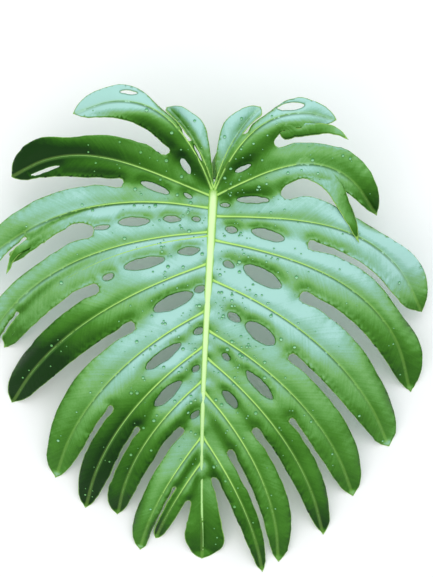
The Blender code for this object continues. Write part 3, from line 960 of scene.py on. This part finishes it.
# The midrib gives the eye one pale, nearly white-green line, and the side veins a thin lime one; both
# crowns carry a painted highlight.
RIB_SKIN = vein_material("pale_midrib_skin", "#D6F5B0", "#96CC52", "#A9DE86")
VEIN_SKIN = vein_material("pale_vein_skin", "#B4E276", "#6CA63E", "#6AA44E")

rib_line = smooth_route(MIDRIB, 10)
rib_line = rib_line[1: int(len(rib_line) * 0.985)]
rib_share = np.linspace(0, 1, len(rib_line))
rib_radii = 5.7 * (1 - rib_share) ** 1.35 + 0.6
rib_height = sheet_fields(rib_line[:, :2])[0] + SHEET_THICKNESS + 0.5 - 0.2 * rib_radii
rib_path = np.column_stack([rib_line[:, :2], rib_height])
midrib = add_strands("midrib", [(rib_path, rib_radii)], RIB_SKIN)


def vein_radii(share, thickness=1.0):
    """A side vein's radius along it: a wide foot, a slender body and a hair-thin end."""
    return thickness * (1.2 * (1 - share) ** 1.1 + 0.12 + 1.7 * np.exp(-share * 30))


def lies_on(points, sheet_name):
    """The height of a finished sheet's top over each point of the plan."""
    mesh = bpy.data.objects[sheet_name].data
    tree = kdtree.KDTree(len(mesh.vertices))
    for number, vert in enumerate(mesh.vertices):
        tree.insert((vert.co.x, vert.co.y, 0), number)
    tree.balance()
    heights = []
    for x, y in points:
        found = tree.find_n((place(x, y).x, place(x, y).y, 0), 3)
        shares = [1 / (gap / MM + 0.1) for _, _, gap in found]
        levels = [mesh.vertices[number].co.z / MM for _, number, _ in found]
        heights.append(np.average(levels, weights=shares))
    return np.array(heights) + SHEET_THICKNESS


vein_strands = []
for name, route in VEIN_ROUTES.items():
    if name in ("tip", "left_1_finger"):  # the midrib and the finger's own sheet lie there
        continue
    line = smooth_route(LOBES[name][0], 8)
    line = line[: int(len(line) * 0.95)]
    radii = vein_radii(np.linspace(0, 1, len(line)), 0.7 if name.endswith("finger") else 1.0)
    path = np.column_stack([line[:, :2], lies_on(line[:, :2], "blade") - 0.1 * radii])
    vein_strands.append((path, radii))
side_veins = add_strands("side_veins", vein_strands, VEIN_SKIN)
print("veins:", len(vein_strands), "faces:", len(side_veins.data.polygons))

# %% [markdown]
# ## Drops of water
# The leaf has just been rinsed, and drops of 2 to 5 mm are left on it, mostly round the
# midrib where the sheet is level. Each is a flattened ball that sits in the skin, turned to
# the sheet's lean. The places are drawn by chance, from a fixed seed. The drops are opaque, and
# what light does in them is painted: a painted dark rim and a painted dark side where the light
# enters, and a painted bright glow where it gathers, over the green of the skin beneath.

# %% Drops
DROPS = 420
chance = np.random.default_rng(7)
points = np.array([vert.co for vert in blade.data.vertices])
normals = [vert.normal for vert in blade.data.vertices]
clear = (fields["edge_away"] > 5) & (fields["vein_away"] > 3) & (fields["rib_away"] > 8)
stalkwards = np.clip((plan[:, 1] + 420) / 200, 0.15, 1)
liking = clear * (np.exp(-((fields["rib_away"] / 80) ** 2)) * stalkwards + 0.07)
chosen = chance.choice(len(points), DROPS, replace=False, p=liking / liking.sum())
shape = bmesh.new()
tone_layer = shape.verts.layers.float.new("green_and_painted_sheen")
for number in chosen:
    radius = (0.8 + 1.8 * chance.random() ** 2) * MM
    ball = bmesh.ops.create_icosphere(shape, subdivisions=2, radius=radius)["verts"]
    turn = normals[number].to_track_quat("Z", "Y").to_matrix()
    seat = Vector(points[number]) + normals[number] * (SHEET_THICKNESS * MM + 0.15 * radius)
    for vert in ball:
        vert.co.z *= 0.55
        vert.co = turn @ vert.co + seat
        vert[tone_layer] = fields["green_and_painted_sheen"][number]
mesh = bpy.data.meshes.new("water_drops")
shape.to_mesh(mesh)
shape.free()
mesh.shade_smooth()
WATER, water_shader = new_material("water_on_green", 0.06, IOR=1.33, Specular_IOR_Level=0.4)
where = add_node(WATER, "ShaderNodeTexCoord")
spread = add_node(WATER, "ShaderNodeSeparateXYZ", {}, {0: (where, "Normal")})
# Painted light in the drop: a painted glow on the side away from the lamp, and painted shade at its rim.
painted_glow = fade(WATER, (spread, "Y"), 0.35, -0.55, 0.0, 1.0)
heart = add_node(
    WATER, "ShaderNodeMix", {6: linear("#4F9A68"), 7: linear("#A9E0B4")}, {0: painted_glow}, data_type="RGBA")
under = add_node(WATER, "ShaderNodeAttribute", attribute_name="green_and_painted_sheen")
greened = tinted(WATER, (heart, 2), "#5E9F45", fade(WATER, (under, "Fac"), 0.95, 0.45, 0.0, 0.75))
painted_rim_shade = fade(WATER, (spread, "Z"), 0.80, 0.45, 0.0, 0.9)
beaded = tinted(WATER, greened, "#2C6630", painted_rim_shade)
WATER.node_tree.links.new(beaded[0].outputs[beaded[1]], water_shader.inputs["Base Color"])
mesh.materials.append(WATER)
drops = add_piece("water_drops", mesh)
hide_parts("leaf_blade")
print("drops:", DROPS)

# %% [markdown]
# ## The stalk
# The stalk is a firm green stem with a swollen knee under the blade, which turns the leaf to
# the light. It was cut with a knife, so its lower end is flat. It replaces the plain solid
# stalk with a smoother one of the same route.

# %% Stalk
STALK = [
    (0.9, 14.4, 74.7, 5.6), (1.2, 19.4, 73.5, 5.8), (3, 29, 68.5, 7.0), (6, 39, 61, 6.9), (10, 50, 50, 5.9),
    (16, 62, 35, 5.6), (22, 73, 20, 5.6), (28, 83, 11, 5.6), (34, 92, 6.4, 5.6), (39, 99, 5.7, 5.6),
]
stalk_route = smooth_route(STALK, 8)
# The stalk gives the eye a firm mid-green stem with a soft shine.
STALK_SKIN, stalk_shader = new_material("green_stalk_skin", 0.45, IOR=1.45)
stalk_shader.inputs["Base Color"].default_value = linear("#4F7F2E")


def stalk_shape(route, sides=28):
    """A round stem along a route that climbs, with rings square to it."""
    shape = bmesh.new()
    points = [place(*row[:3]) for row in route]
    last = None
    for number, (point, row) in enumerate(zip(points, route)):
        before = points[max(number - 1, 0)]
        after = points[min(number + 1, len(points) - 1)]
        turn = (after - before).to_track_quat("Z", "X").to_matrix()
        ring = bmesh.ops.create_circle(shape, segments=sides, radius=row[3] * MM)["verts"]
        for vert in ring:
            vert.co = turn @ vert.co + point
        edges = list({edge for vert in ring for edge in vert.link_edges})
        if last:
            bmesh.ops.bridge_loops(shape, edges=last + edges)
        else:
            bmesh.ops.contextual_create(shape, geom=edges)
        last = edges
    bmesh.ops.contextual_create(shape, geom=last)
    bmesh.ops.recalc_face_normals(shape, faces=shape.faces)
    return shape


shape = stalk_shape(stalk_route)
mesh = bpy.data.meshes.new("stalk")
shape.to_mesh(mesh)
shape.free()
mesh.shade_smooth()
mesh.set_sharp_from_angle(angle=math.radians(50))
mesh.materials.append(STALK_SKIN)
stalk = add_piece("stalk", mesh)
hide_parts("petiole")
